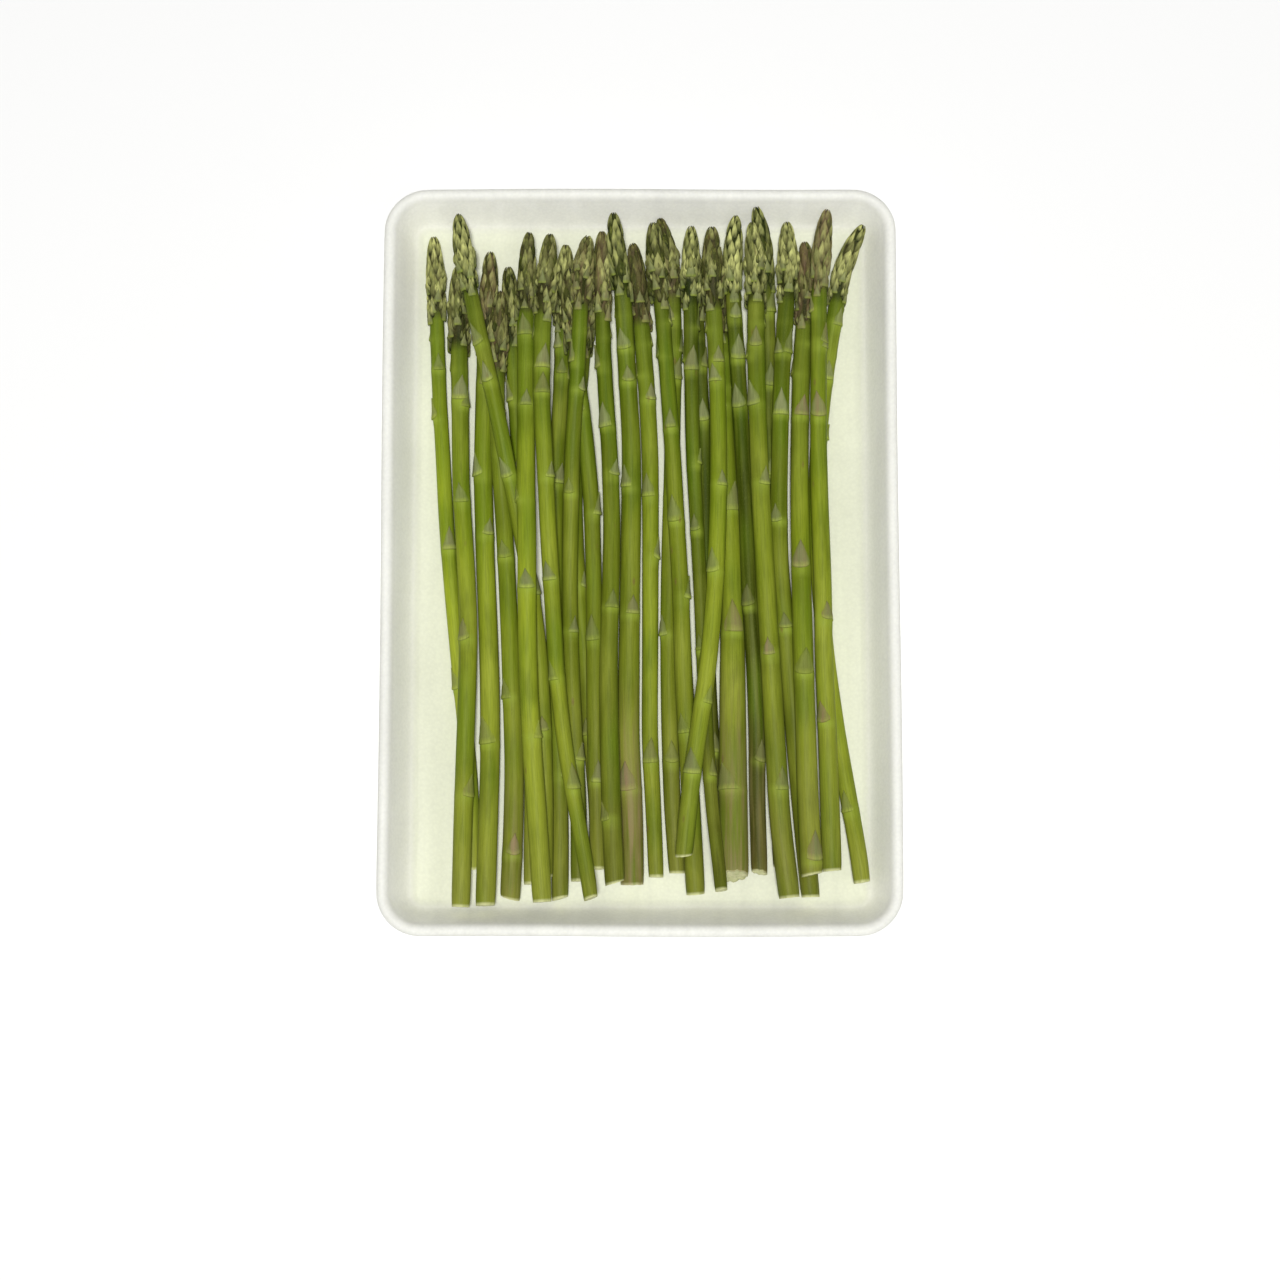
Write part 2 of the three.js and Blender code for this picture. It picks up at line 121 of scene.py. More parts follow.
def node(tree, kind, links=None, **settings):
    """Adds a shader node, sets its settings and links other nodes' outputs to its inputs."""
    made = tree.nodes.new("ShaderNode" + kind)
    for name, value in settings.items():
        setattr(made, name, value)
    for name, value in (links or {}).items():
        if isinstance(value, bpy.types.NodeSocket):
            tree.links.new(value, made.inputs[name])
        else:
            made.inputs[name].default_value = value
    return made


def mixed(tree, share, first, second, way="MIX"):
    """The mix of two colours, each a colour or another node's output."""
    made = node(tree, "Mix", data_type="RGBA", blend_type=way)
    for index, value in ((0, share), (6, first), (7, second)):
        if isinstance(value, bpy.types.NodeSocket):
            tree.links.new(value, made.inputs[index])
        else:
            made.inputs[index].default_value = value
    return made.outputs[2]


def ramp(tree, value, stops):
    """A colour ramp on a value. The stops are (place, colour)."""
    made = node(tree, "ValToRGB", {"Fac": value})
    elements = made.color_ramp.elements
    elements[0].position, elements[0].color = stops[0]
    elements[1].position, elements[1].color = stops[-1]
    for place, colour in stops[1:-1]:
        elements.new(place).color = colour
    return made.outputs["Color"]


def grey(level):
    """A grey as a shader takes it, from black (0) to white (1)."""
    return [level, level, level, 1]


bpy.ops.object.select_all(action="DESELECT")
tray_low, tray_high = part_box("foam_tray")
bpy.ops.mesh.primitive_cube_add(size=1, location=(0, 0, RIM_MIDDLE * MM))
tray = bpy.context.object
tray.name = "foam_dish"
tray.scale = (tray_high.x - tray_low.x, tray_high.y - tray_low.y, RIM_ROUND * MM)
bpy.ops.object.transform_apply(location=True, rotation=True, scale=True)
bpy.ops.object.mode_set(mode="EDIT")
pick("EDGE", lambda edge: abs(edge.verts[0].co.z - edge.verts[1].co.z) > RIM_ROUND * MM / 2)
bpy.ops.mesh.bevel(offset=TRAY_CORNER * MM, segments=CORNER_STEPS, profile=0.5, affect="EDGES")
pick("EDGE", lambda edge: edge.calc_length() > LONG_EDGE * MM)
bpy.ops.mesh.subdivide(number_cuts=SIDE_CUTS)
for side, steps in ((1, INTO_DISH), (-1, DOWN_OUTSIDE)):
    pick("FACE", lambda face: face.normal.z * side > 0.9)
    for inwards, onwards in steps:
        bpy.ops.mesh.inset(thickness=inwards * MM, depth=onwards * MM)
bpy.ops.object.mode_set(mode="OBJECT")
smooth = tray.modifiers.new("smooth", "SUBSURF")
smooth.levels = smooth.render_levels = 1
bpy.ops.object.modifier_apply(modifier="smooth")

# The walls and the rim waver a little along the sides, as thin foam does.
rows = places(tray.data)
height_share = np.clip(rows[:, 2] / tray_high.z, 0, 1)
long_wave = 0.5 - 0.5 * np.cos(rows[:, 1] / (LONG_WAVE * MM) + 2 * np.sign(rows[:, 0]))
short_wave = 0.5 - 0.5 * np.cos(rows[:, 0] / (SHORT_WAVE * MM) + np.sign(rows[:, 1]))
beyond = np.abs(rows[:, :2]) - np.array(WAVES_FROM) * MM
outwards = np.clip(beyond / (WAVES_GROW * MM), 0, 1)
rows[:, 0] -= np.sign(rows[:, 0]) * WAVE * MM * long_wave * outwards[:, 0] * height_share ** 2
rows[:, 1] -= np.sign(rows[:, 1]) * WAVE * MM * short_wave * outwards[:, 1] * height_share ** 2
rows[:, 2] -= WAVE * MM * height_share ** 4 * (long_wave + short_wave) / 2
put_places(tray.data, rows)
bpy.ops.object.shade_smooth()

# White foam, cream on the floor, with faint clouds, streaks and cells under its skin. The steep
# walls are painted much lighter than the floor, painted light against the shade that falls on them,
# and the top of the rim is painted a little darker than the walls, painted shade against the full
# light it catches.
foam, tree, surface = new_material("pressed_foam")
where = node(tree, "TexCoord").outputs["Object"]
clouds = node(tree, "TexNoise", {"Vector": where, "Scale": 38, "Detail": 4, "Roughness": 0.6})
stretched = node(tree, "Mapping", {"Vector": where, "Scale": (1, 0.06, 0.4)})
streaks = node(tree, "TexNoise", {"Vector": stretched.outputs[0], "Scale": 260, "Detail": 2})
cells = node(tree, "TexVoronoi", {"Vector": where, "Scale": 1300}, feature="SMOOTH_F1")
pores = node(tree, "TexNoise", {"Vector": where, "Scale": 3600, "Detail": 1})
height = node(tree, "Mapping", {"Vector": where, "Scale": (1, 1, 1 / tray_high.z)}).outputs[0]
height = node(tree, "SeparateXYZ", {"Vector": height}).outputs["Z"]
# Colour by height: the floor, then the walls with painted light, then the rim with painted shade.
body = ramp(tree, height, [(0.18, linear(219, 222, 195)), (0.3, linear(250, 250, 238)),
                           (0.82, linear(252, 252, 243)), (0.93, linear(240, 240, 232))])
for value, stops in ((clouds.outputs["Fac"], [(0.3, grey(0.93)), (0.7, grey(1.0))]),
                     (streaks.outputs["Fac"], [(0.35, grey(0.95)), (0.65, grey(1.0))]),
                     (cells.outputs["Distance"], [(0.1, grey(1.0)), (0.8, grey(0.93))])):
    body = mixed(tree, 1.0, body, ramp(tree, value, stops), "MULTIPLY")
tree.links.new(body, surface.inputs["Base Color"])
for name, value in (("Roughness", 0.55), ("Specular IOR Level", 0.25), ("Subsurface Weight", 0.3),
                    ("Subsurface Radius", (1, 1, 0.9)), ("Subsurface Scale", 3 * MM)):
    surface.inputs[name].default_value = value
dents = node(tree, "Bump", {"Height": cells.outputs["Distance"], "Strength": 0.1,
                            "Distance": 0.15 * MM})
grain = node(tree, "Bump", {"Height": pores.outputs["Fac"], "Strength": 0.06,
                            "Distance": 0.1 * MM, "Normal": dents.outputs["Normal"]})
tree.links.new(grain.outputs["Normal"], surface.inputs["Normal"])
tray.data.materials.append(foam)
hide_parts("foam_tray")
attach(tray, "root")


# ---- skin of the spears ----
# Asparagus has a smooth waxy skin with fine grooves along it. It is yellow-green, paler at the cut
# and deeper near the head. The scale leaves are papery: grey-green, thin-edged and often purple.

skin, tree, surface = new_material("asparagus_skin")


def told(name, output="Fac"):
    """What is written on the points of a spear under this name, for the material being made."""
    return node(tree, "Attribute", attribute_name=name).outputs[output]


def scaled(value, low, high, least=0.0, most=1.0):
    """A value from low to high, stretched to run from least to most."""
    made = node(tree, "MapRange", {"Value": value, "From Min": low, "From Max": high,
                                   "To Min": least, "To Max": most})
    return made.outputs[0]


def product(first, second):
    """One value times another, kept from 0 to 1."""
    made = node(tree, "Math", operation="MULTIPLY", use_clamp=True)
    for index, value in enumerate((first, second)):
        if isinstance(value, bpy.types.NodeSocket):
            tree.links.new(value, made.inputs[index])
        else:
            made.inputs[index].default_value = value
    return made.outputs[0]


def drawn_out(squeeze):
    """Places on a straight spear, squeezed along it: what is put on them comes out that longer."""
    return node(tree, "Mapping", {"Vector": straight, "Scale": (1, squeeze, 1)}).outputs[0]


def noise(place, fineness, detail, roughness=0.5):
    """Soft marks scattered over a place, in levels around 0.5. The finer, the smaller they are."""
    made = node(tree, "TexNoise", {"Vector": place, "Scale": fineness, "Detail": detail,
                                   "Roughness": roughness})
    return made.outputs["Fac"]


# Markings, from fine grooves along the spear to wide drifts of colour.
straight = told("straight", "Vector")
specks = noise(straight, 5200, 2)
grooves = noise(drawn_out(0.035), 3400, 3, 0.65)
flecks = noise(drawn_out(0.3), 1700, 2)
bands = noise(drawn_out(0.05), 700, 2)
patches = noise(drawn_out(0.35), 130, 3)
drifts = noise(drawn_out(0.45), 52, 2)

# Stem: from the cut (0) to the foot of the head (1) and on into it, bright spears and duller ones.
# The darker end is partly painted shade: its darkest greens stand in for the shade on spears that
# lie under others.
ripe = told("ripe")
bright = ramp(tree, ripe, [(0.0, linear(141, 148, 52)), (0.12, linear(149, 159, 48)),
                           (0.35, linear(155, 168, 44)), (0.6, linear(150, 166, 36)),
                           (0.84, linear(127, 145, 29)), (1.0, linear(101, 119, 27))])
# Darkest stem colours: a darker green, partly painted shade for spears lying under others.
dull_and_shaded = ramp(tree, ripe, [(0.0, linear(66, 66, 14)), (0.3, linear(54, 60, 7)),
                         (0.6, linear(56, 66, 6)), (0.84, linear(56, 69, 6)),
                         (1.0, linear(52, 63, 10))])
body = mixed(tree, told("tone"), dull_and_shaded, bright)
body = mixed(tree, product(scaled(drifts, 0.48, 0.64), 0.6), body, linear(86, 112, 8))
body = mixed(tree, product(scaled(drifts, 0.46, 0.32), 0.35), body, linear(166, 172, 66))
body = mixed(tree, product(scaled(bands, 0.38, 0.68), 0.28), body, linear(150, 160, 56))
body = mixed(tree, product(scaled(patches, 0.5, 0.72), 0.42), body, linear(74, 86, 12))
body = mixed(tree, product(scaled(grooves, 0.42, 0.66), 0.32), body, linear(64, 76, 12))
body = mixed(tree, product(told("joint"), scaled(bands, 0.3, 0.6, 0.4, 0.9)), body,
             linear(146, 164, 56))

# Head: from dark to pale olive by its tone, with fine flecks. Its foot is darkened, painted shade
# where the heads crowd together. The core between the buds is painted nearly black, painted shade in
# the gaps between them.
head = mixed(tree, told("tone"), linear(46, 54, 12), linear(228, 230, 146))
# Painted shade: darker towards the foot of the head.
head = mixed(tree, product(scaled(ripe, 1.08, 1.0), 0.3), head, linear(46, 56, 12))
head = mixed(tree, product(scaled(bands, 0.4, 0.65), 0.3), head, linear(84, 96, 34))
head = mixed(tree, product(scaled(flecks, 0.5, 0.66), 0.5), head, linear(66, 62, 26))
head = mixed(tree, product(scaled(flecks, 0.46, 0.34), 0.2), head, linear(210, 212, 104))
# Painted shade: the core, seen only between the buds, is nearly black.
body = mixed(tree, told("budding"), body, linear(38, 47, 11))

# Bud scales: the head's colour, brown at the point. They are nearly black at the foot and dark at
# the edge: painted shade where each scale tucks under the next.
up, margin, leafy = told("up"), told("margin"), told("leafy")
# Painted shade: nearly black at the foot of each scale and dark along its edge.
scale = mixed(tree, scaled(up, 0.08, 0.52), linear(20, 26, 6), head)
scale = mixed(tree, product(scaled(margin, 0.7, 0.96), 0.75), scale, linear(30, 36, 8))
scale = mixed(tree, product(scaled(up, 0.72, 1.0), 0.4), scale, linear(104, 98, 58))

# Leaves: grey-green paper, paler high on the stem and browner in the middle. The edges melt into the
# stem, and the foot has a pale band with a dark line under it, painted shade in the crease under the
# foot.
paper = mixed(tree, scaled(up, 0.1, 0.9), linear(132, 144, 80), linear(114, 124, 74))
paper = mixed(tree, product(scaled(ripe, 0.45, 0.85), 0.5), paper, linear(166, 172, 122))
paper = mixed(tree, product(scaled(patches, 0.45, 0.65), 0.35), paper, linear(116, 108, 76))
paper = mixed(tree, product(scaled(margin, 0.6, 0.1), 0.3), paper, linear(104, 98, 72))
paper = mixed(tree, product(scaled(margin, 0.45, 1.0), 0.65), paper, body)
paper = mixed(tree, product(scaled(up, 0.24, 0.08), scaled(bands, 0.35, 0.6, 0.4, 1.0)), paper,
              linear(166, 180, 78))
# Painted shade: a thin dark line in the crease under the leaf's foot.
paper = mixed(tree, product(scaled(up, 0.04, 0.02), 0.45), paper, linear(76, 88, 22))
paper = mixed(tree, told("budding"), paper, scale)
paper = mixed(tree, product(scaled(grooves, 0.4, 0.65), 0.35), paper, linear(76, 86, 34))
body = mixed(tree, leafy, body, paper)

# Small brown nicks, and a pale rim where the cut has dried.
nicks = node(tree, "TexVoronoi", {"Vector": drawn_out(0.4), "Scale": 150})
body = mixed(tree, product(scaled(nicks.outputs["Distance"], 0.09, 0.03), 0.6), body,
             linear(112, 92, 50))
rim = product(scaled(told("cut"), 0.5, 0.9), scaled(bands, 0.3, 0.5, 0.5, 0.95))
body = mixed(tree, rim, body, linear(204, 206, 150))

# Purple-brown with pink streaks, where the sun has caught a spear or a leaf.
purple = mixed(tree, scaled(patches, 0.35, 0.65), linear(116, 90, 64), linear(154, 134, 100))
purple = mixed(tree, product(scaled(grooves, 0.5, 0.62), 0.6), purple, linear(166, 126, 108))
blush = product(told("blush"), scaled(bands, 0.35, 0.62, 0.15, 1.0))
body = mixed(tree, blush, body, purple)
body = mixed(tree, product(scaled(specks, 0.6, 0.72), 0.2), body, linear(180, 188, 100))
tree.links.new(body, surface.inputs["Base Color"])
tree.links.new(mixed(tree, leafy, grey(0.5), grey(0.64)), surface.inputs["Roughness"])
surface.inputs["Specular IOR Level"].default_value = 0.1
ridged = node(tree, "Bump", {"Height": grooves, "Strength": 0.35, "Distance": 0.12 * MM})
pitted = node(tree, "Bump", {"Height": specks, "Strength": 0.12, "Distance": 0.06 * MM,
                             "Normal": ridged.outputs["Normal"]})
tree.links.new(pitted.outputs["Normal"], surface.inputs["Normal"])

# The cut end: pale flesh with darker threads, drying at the edge.
flesh, tree, surface = new_material("cut_flesh")
straight = told("straight", "Vector")
threads = node(tree, "TexVoronoi", {"Vector": straight, "Scale": 1500}).outputs["Distance"]
body = ramp(tree, noise(straight, 900, 3), [(0.35, linear(196, 200, 140)),
                                            (0.65, linear(222, 220, 172))])
body = mixed(tree, product(scaled(threads, 0.28, 0.12), 0.45), body, linear(150, 158, 92))
body = mixed(tree, scaled(told("margin"), 0.75, 0.98, 0.0, 0.7), body, linear(140, 140, 84))
tree.links.new(body, surface.inputs["Base Color"])
surface.inputs["Roughness"].default_value = 0.45
fibres = node(tree, "Bump", {"Height": threads, "Strength": 0.3, "Distance": 0.15 * MM})
tree.links.new(fibres.outputs["Normal"], surface.inputs["Normal"])


# ---- a straight spear ----
# A spear is a solid round stem that tapers to its head, with papery leaves pressed to it. The stem,
# one leaf, one bud scale and one bract are made once here. They are copied for each spear and
# shaped to its length, thickness and leaves.

SIDES = 28                       # round the stem
RINGS = 176                      # along it
# Steps over the rim of the cut and across its slightly sunk face, as (further in, up or down), for
# a stem of radius 1 and length 1.
ACROSS_CUT = [(0.05, 0.0), (0.07, -0.0004), (0.3, -0.0006), (0.3, 0.0002)]
NEAR_CUT = 0.001                 # what lies below this on the pattern belongs to the cut
# What is written on the points for the skin to read: ripe, the way from the cut (0) to the head (1);
# tone, how bright, with painted shade in the lowest tones; blush, how purple; budding, on the head;
# joint, near the foot of a leaf; leafy, on a leaf; up, how far up a leaf; margin, how near the edge
# of a leaf or cut; cut, at the cut.
MARKS = ("ripe", "tone", "blush", "budding", "joint", "leafy", "up", "margin", "cut")


def mark(mesh, name, values):
    """Writes a value on each point of a mesh for the skin to read."""
    kind = "FLOAT_VECTOR" if np.ndim(values) == 2 else "FLOAT"
    found = mesh.attributes.get(name) or mesh.attributes.new(name, kind, "POINT")
    if kind == "FLOAT_VECTOR":
        found.data.foreach_set("vector", np.asarray(values, np.float32).ravel())
    else:
        spread = np.broadcast_to(np.asarray(values, np.float32), (len(mesh.vertices),))
        found.data.foreach_set("value", np.ascontiguousarray(spread))


def written(mesh, name):
    """What is written under a name on the points of a mesh."""
    values = np.empty(len(mesh.vertices), np.float32)
    mesh.attributes[name].data.foreach_get("value", values)
    return values


# Stem of length 1 and radius 1 along +Y.
bpy.ops.mesh.primitive_cylinder_add(vertices=SIDES, radius=1, depth=1, location=(0, 0.5, 0),
                                    rotation=(-math.pi / 2, 0, 0))
stem_pattern = bpy.context.object
bpy.ops.object.transform_apply(location=True, rotation=True, scale=True)
bpy.ops.object.mode_set(mode="EDIT")
pick("EDGE", lambda edge: abs(edge.verts[0].co.y - edge.verts[1].co.y) > 0.5)
bpy.ops.mesh.subdivide(number_cuts=RINGS)
pick("FACE", lambda face: face.normal.y < -0.9)
for inwards, onwards in ACROSS_CUT:
    bpy.ops.mesh.inset(thickness=inwards, depth=onwards)
bpy.ops.mesh.merge(type="CENTER")
pick("FACE", lambda face: face.normal.y > 0.9)
bpy.ops.mesh.merge(type="CENTER")
bpy.ops.object.mode_set(mode="OBJECT")
stem_pattern.data.materials.append(skin)
stem_pattern.data.materials.append(flesh)
for face in stem_pattern.data.polygons:
    face.material_index = int(face.center.y < NEAR_CUT and abs(face.normal.y) > 0.5)
round_share = np.hypot(places(stem_pattern.data)[:, 0], places(stem_pattern.data)[:, 2])
for name in MARKS:
    mark(stem_pattern.data, name, 0)
mark(stem_pattern.data, "cut", places(stem_pattern.data)[:, 1] < NEAR_CUT)

# Leaf of the stem, scale of a bud and bract under it, laid flat: x from -1 to 1 at the widest, y
# from 0 at the foot to 1 at the point. The rows are (place along it, half its width, its height).
LEAF_ROWS = [(0.0, 0.93, 0.45), (0.03, 1.0, 0.95), (0.09, 1.0, 1.0), (0.2, 0.94, 0.9),
             (0.33, 0.83, 0.8), (0.46, 0.69, 0.7), (0.6, 0.52, 0.63), (0.73, 0.35, 0.6),
             (0.85, 0.19, 0.58), (0.95, 0.07, 0.58), (1.0, 0.012, 0.56)]
SCALE_ROWS = [(0.0, 0.55, 0.2), (0.14, 0.84, 0.7), (0.32, 1.0, 1.0), (0.54, 0.86, 0.98),
              (0.75, 0.54, 0.76), (0.92, 0.2, 0.46), (1.0, 0.015, 0.3)]
BRACT_ROWS = [(0.0, 0.8, 0.3), (0.08, 1.0, 0.9), (0.3, 0.84, 1.0), (0.55, 0.55, 0.85),
              (0.8, 0.24, 0.7), (1.0, 0.012, 0.6)]


def blade(name, columns, table, edge, thick):
    """A pointed blade as a closed shell, arched across. edge is how high its sides stand, as a
    share of its middle, and thick is the thickness of the shell as a share of its height.
    """
    bpy.ops.mesh.primitive_grid_add(x_subdivisions=columns, y_subdivisions=len(table) - 1, size=2)
    piece = bpy.context.object
    piece.name = name
    shell = piece.modifiers.new("shell", "SOLIDIFY")
    shell.thickness, shell.offset = thick, -1
    bpy.ops.object.modifier_apply(modifier="shell")
    rows = places(piece.data)
    margin = np.abs(rows[:, 0])
    row = np.rint((rows[:, 1] + 1) / 2 * (len(table) - 1)).astype(int)
    up, half_width, height = np.array(table)[row].T
    rows[:, 0] *= half_width
    rows[:, 1] = up
    rows[:, 2] += height * (edge + (1 - edge) * (1 - margin ** 2))
    put_places(piece.data, rows)
    for other in MARKS:
        mark(piece.data, other, 0)
    mark(piece.data, "up", up)
    mark(piece.data, "margin", margin)
    mark(piece.data, "leafy", 1)
    piece.data.materials.append(skin)
    return piece


leaf_pattern = blade("leaf_pattern", 8, LEAF_ROWS, edge=0.3, thick=0.5)
scale_pattern = blade("scale_pattern", 4, SCALE_ROWS, edge=0.15, thick=0.4)
bract_pattern = blade("bract_pattern", 4, BRACT_ROWS, edge=0.3, thick=0.5)


# ---- spears ----
# Each spear grew as one piece: a stem with pressed scale leaves, and a head of overlapping bud
# scales. It was cut across at the foot. All lie loose on each other, as the frame has them.

# Number: (tone of the stem, tone of the head, how open the head is, blush of the head, blush of
# the butt, leaves as (y of the foot in mm, lean from straight up in degrees, blush, length in mm)).
# A tone runs from a dark green (0) to bright (1), and a head may be a little duller than that. The
# lowest tones, on spears and heads that lie under or among others, are painted shade as well as
# their own darker green.
SPEARS = {
    1: (1, 0.65, 0.45, 0.12, 0.0, [(-37, -48, 0.1, 8), (3, 15, 0.2, 8), (41, -80, 0.1, 7)]),
    2: (0.75, 0.25, 0.7, 0.15, 0.05, [(-68, 50, 0.2, 8), (-24, -40, 0.1, 9), (16, 0, 0, 8),
                                     (44, 60, 0.1, 7)]),
    3: (0.6, 0.55, 0.35, 0.0, 0.0, [(-50, 0, 0.2, 8), (-12, 60, 0, 8), (22, -30, 0, 8),
                                    (49, -18, 0, 9)]),
    4: (0.8, 0.2, 0.25, 0.5, 0.05, [(-53, -35, 0.1, 9), (7, 30, 0.1, 8), (24, -60, 0, 8)]),
    5: (0.65, 0.25, 0.5, 0.4, 0.25, [(-84, 10, 0.75, 11), (-40, -50, 0.1, 8), (0, -10, 0, 8),
                                     (30, 60, 0.2, 7)]),
    6: (0.8, 0.15, 0.6, 0.1, 0.1, [(-40, -60, 0.1, 8), (-12, 80, 0, 8), (22, -20, 0.2, 8)]),
    7: (0.9, 0.12, 0.4, 0.15, 0.0, [(-52, 55, 0.1, 9), (-10, 0, 0, 8), (15, -95, 0, 8),
                                    (43, 0, 0, 8)]),
    8: (0.75, 0.3, 0.8, 0.15, 0.0, [(-66, 30, 0.1, 8), (-35, -40, 0, 9), (-7, -18, 0, 8),
                                    (22, 45, 0, 8), (46, 10, 0.1, 8)]),
    9: (0.45, 0.5, 0.7, 0.2, 0.05, [(-62, 70, 0.1, 8), (-28, -60, 0, 8), (22, 30, 0, 8),
                                   (54, 0, 0.1, 8)]),
    10: (0.45, 0.25, 0.6, 0.3, 0.1, [(-64, 20, 0.1, 8), (-24, -20, 0, 8), (12, 70, 0, 8),
                                   (42, -50, 0.1, 7)]),
    11: (0.5, 0.1, 0.6, 0.2, 0.1, [(-50, -30, 0.1, 8), (-8, 60, 0, 8), (38, -45, 0.1, 7)]),
    12: (0.4, 0.4, 0.68, 0.35, 0.1, [(-58, 50, 0.1, 8), (-22, 30, 0, 8), (17, -15, 0, 8),
                                      (46, 60, 0.1, 7)]),
    13: (0.35, 0.35, 0.5, 0.4, 0.0, [(-75, -50, 0.1, 9), (-15, 15, 0, 8), (23, 40, 0, 8),
                                   (37, -40, 0, 8)]),
    14: (0.45, 0.35, 0.25, 0.0, 0.6, [(-66, -27, 0.7, 10), (-16, 22, 0.2, 9), (20, -50, 0, 8),
                                     (50, 10, 0.1, 8)]),
    15: (0.75, -0.05, 0.5, 0.4, 0.0, [(-58, -10, 0.1, 8), (0, 75, 0, 8), (18, -25, 0, 8),
                                    (46, 35, 0.1, 7)]),
    16: (0.5, 0.25, 0.6, 0.15, 0.0, [(-50, -27, 0, 9), (-12, 80, 0, 8), (10, -20, 0, 9),
                                      (37, -5, 0.1, 9)]),
    17: (0.45, 0.2, 0.5, 0.3, 0.1, [(-58, 10, 0.1, 8), (-22, -60, 0, 8), (18, 50, 0, 8),
                                     (52, 30, 0.1, 7)]),
    18: (0, 0.25, 0.5, 0.2, 0.1, [(-55, 30, 0.1, 8), (-5, -50, 0, 8), (40, 0, 0, 8)]),
    19: (0.15, 0.6, 0.5, 0.0, 0.0, [(-62, 40, 0.1, 8), (-26, -30, 0, 8), (8, -25, 0, 8),
                                     (27, 70, 0, 8), (54, 0, 0.1, 8)]),
    20: (0.8, 0.25, 0.7, 0.2, 0.0, [(-62, -20, 0.1, 8), (-42, 40, 0, 9), (-5, -38, 0, 8),
                                    (20, 30, 0, 8), (50, -20, 0, 8)]),
    21: (0.65, -0.35, 0.5, 0.3, 0.6, [(-66, -40, 0.3, 9), (-21, 5, 0.35, 12), (14, 40, 0.1, 9),
                                     (44, -30, 0.1, 8)]),
    22: (0, 0.85, 0.1, 0.0, 0.35, [(-58, 40, 0.3, 8), (-14, -30, 0.1, 8), (43, -20, 0, 8),
                                     (57, 15, 0, 8)]),
    23: (0.55, 0.5, 0.7, 0.05, 0.1, [(-66, 30, 0.1, 9), (-28, -10, 0.6, 9), (20, 35, 0, 8),
                                     (43, -45, 0, 8), (60, -5, 0.1, 9)]),
    24: (0.05, 0.15, 0.2, 0.0, 0.2, [(-48, 40, 0.1, 8), (-6, -30, 0, 8), (24, 20, 0, 8),
                                   (50, 20, 0, 8)]),
    25: (0.35, 0.65, 0.6, 0.1, 0.0, [(-20, 0, 0.1, 8), (10, -25, 0, 9), (41, 0, 0, 9),
                                    (59, 50, 0, 9)]),
    26: (0.65, 0, 0.5, 0.5, 0.1, [(-86, 25, 0.6, 10), (-34, 5, 0.1, 8), (-4, -5, 0.55, 9),
                                    (41, 10, 0.55, 9)]),
    27: (0.72, 0.35, 0.15, 0.5, 0.05, [(-47, -30, 0.7, 9), (-18, 30, 0.45, 9), (40, 0, 0.5, 9),
                                      (60, 65, 0.1, 7)]),
    28: (0.8, 0.58, 0.2, 0.12, 0.0, [(-72, -35, 0.05, 9), (-18, 80, 0.1, 8), (34, 85, 0, 8),
                                    (51, 20, 0, 9)]),
}

# Reading a spear from its solid.
SLICE = 2 * MM
NEAR_HEAD = 4 * MM               # slices closer to the head don't count for the stem's thickness,
LEAF_ADDS = 0.02 * MM            # nor do those that a leaf makes so much thicker than the rest
FIT_PASSES = 4
LINE_PASSES = 12                 # rounds in which the line is evened out
OCTAGON = 2 * math.sqrt(2)       # area of the frame's eight-sided stem over its radius squared
COLLAR_DRAW = 500                # the draws for the collar and the head, as its solid has them
HEAD_DRAW = 900

# The stem. The depths of ribs, wander and drying are shares of its radius.
RIBS, RIB_DEEP = 5, 0.012
FINE_RIBS, FINE_RIB_DEEP = 8, 0.008
TWIST, TWIST_LONG = 1.2, 60 * MM           # the ribs drift so many radians round it and back
WANDER, WANDER_LONG = 0.01, 11 * MM        # it grows a little thicker and thinner
JOINT, JOINT_LONG = 0.17 * MM, 1.3 * MM    # it stands out at the foot of a leaf
DRIED, DRIED_LONG = 0.07, 2 * MM           # it has shrunk next to the cut
CUT_REACH = 3 * MM                         # a sloping cut fades out over this much of the stem
# The slope of a cut, which way it faces in degrees from up, and mm of ragged rim. Most slope by
# up to SLOPE and face down, give or take TOWARDS. The torn ones are listed by number.
SLOPE, TOWARDS, RAGGED = 0.3, 100, 0.08
TORN = {14: (0.1, 180, 0.2), 21: (0.22, 20, 0.6), 22: (0.3, -50, 0.3)}

# The leaves of the stem.
COLLAR = (6, 15)                 # two more leaves, in mm below the foot of the head
COLLAR_LONG = 8 * MM
GOLDEN = 137.5                   # degrees round the stem from one leaf or bud to the next
LEAF_ROUND = 72                  # degrees from the middle of a full-grown leaf to its side
LEAF_THICK = 0.48 * MM
WAVER = 0.07                     # how much the sides of a leaf or scale waver

# The head and its bare core.
HEAD = 25 * MM
HEAD_THICK = 5.1 * MM            # across the widest part, give or take HEAD_SPREAD of it
HEAD_SPREAD = 0.07
WIDEST = 0.5                     # where it is widest, as a share of the head from the tip
BLUNTNESS = 0.4                  # a smaller power makes a blunter tip
CORE = 0.88                      # the core inside the scales, as a share of that thickness
CORE_FADES = 0.12                # it grows to the full stem over this share, at the foot

